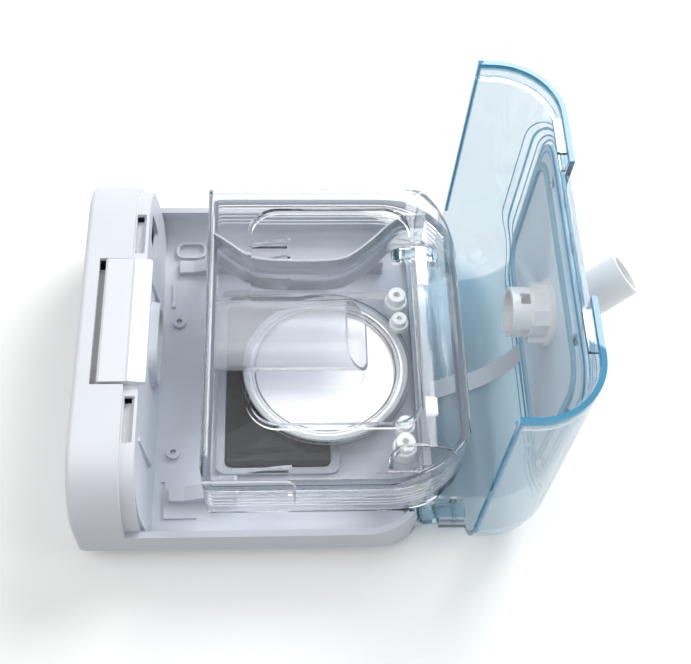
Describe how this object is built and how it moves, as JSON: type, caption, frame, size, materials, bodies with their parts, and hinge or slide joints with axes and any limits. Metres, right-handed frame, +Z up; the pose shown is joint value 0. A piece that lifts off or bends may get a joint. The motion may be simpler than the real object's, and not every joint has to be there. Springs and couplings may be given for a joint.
{
  "type": "heated humidifier unit",
  "caption": "Open heated humidifier unit of a breathing machine: white base with latch button, clear water tank half out, blue translucent hinged lid with swivel outlet.",
  "frame": {"origin": "centre of the base's footprint on the table, at the underside of the middle foot pad", "axes": "+X from the latch block to the hinge, +Z up"},
  "size_m": [0.276, 0.2, 0.1507],
  "materials": {
    "white_abs": "fine satin",
    "white_button": "satin",
    "white_pom": "semi-gloss",
    "grey_plastic": "satin",
    "blue_clear": "gloss, translucent",
    "clear": "gloss, transparent",
    "steel": "bright pressed",
    "steel_pin": "turned",
    "heater_metal": "dark anodised",
    "heater_foil": "film",
    "silicone": "matt",
    "rubber_dark": "matt",
    "pcb": "solder mask",
    "wire": "satin",
    "lid_fittings": "gloss, translucent"
  },
  "bodies": {
    "base": {"base_housing": "white_abs", "inner_panel": "white_abs", "duct_seal": "silicone", "air_duct": "white_abs", "bottom_cover": "white_abs", "cover_screws": "steel_pin", "rubber_feet": "rubber_dark", "heater_carrier": "rubber_dark", "heater_springs": "steel_pin", "heater_leads": "wire", "control_board": "pcb", "docking_connector": "rubber_dark", "latch_springs": "steel_pin", "hinge_pins": "steel_pin"},
    "heater": {"heater_plate": "heater_metal", "heater_element": "heater_foil", "thermal_cutout": "steel_pin"},
    "latch": {"latch_button": "white_button", "latch_bar": "white_pom"},
    "lid": {"lid_shell": "blue_clear", "hinge_arm_near": "lid_fittings", "hinge_arm_far": "lid_fittings", "arm_clip_pins": "white_pom", "lid_hooks": "lid_fittings", "lid_liner": "grey_plastic", "liner_screws": "steel_pin", "liner_gasket": "silicone", "port_collar": "white_pom", "lid_stay": "grey_plastic"},
    "outlet": {"outlet_elbow": "white_pom", "port_o_ring": "rubber_dark", "port_cap": "grey_plastic"},
    "tank": {"tank_tub": "clear", "tank_seal": "silicone", "tank_cover": "clear", "tank_inlet_tube": "clear", "tank_clips": "white_pom", "tank_disc": "steel", "disc_seal": "silicone"}
  },
  "joints": [
    {"name": "lid_hinge", "type": "hinge", "parent": "base", "child": "lid", "pos_m": [0.0825, 0, 0.007], "axis": [0, 1, 0], "range_deg": [-92, 0]},
    {"name": "tank_slide", "type": "slide", "parent": "base", "child": "tank", "axis": [-0.9541, 0, -0.2993], "range_m": [0, 0.02673]},
    {"name": "latch_slide", "type": "slide", "parent": "base", "child": "latch", "axis": [-1, 0, 0], "range_m": [0, 0.003], "stiffness_N_per_m": 900},
    {"name": "heater_float", "type": "slide", "parent": "base", "child": "heater", "axis": [0, 0, -1], "range_m": [0, 0.0015], "stiffness_N_per_m": 2400, "springref_m": -0.0008, "deforming": ["heater_springs"]},
    {"name": "outlet_swivel", "type": "hinge", "parent": "lid", "child": "outlet", "pos_m": [0.15022, -0.005, 0.08368], "axis": [0.9994, 0, -0.0349], "continuous": true}
  ],
  "couplings": [
    {"joint": "tank_slide", "follows": "lid_hinge", "m_per_rad": -0.016644}
  ]
}
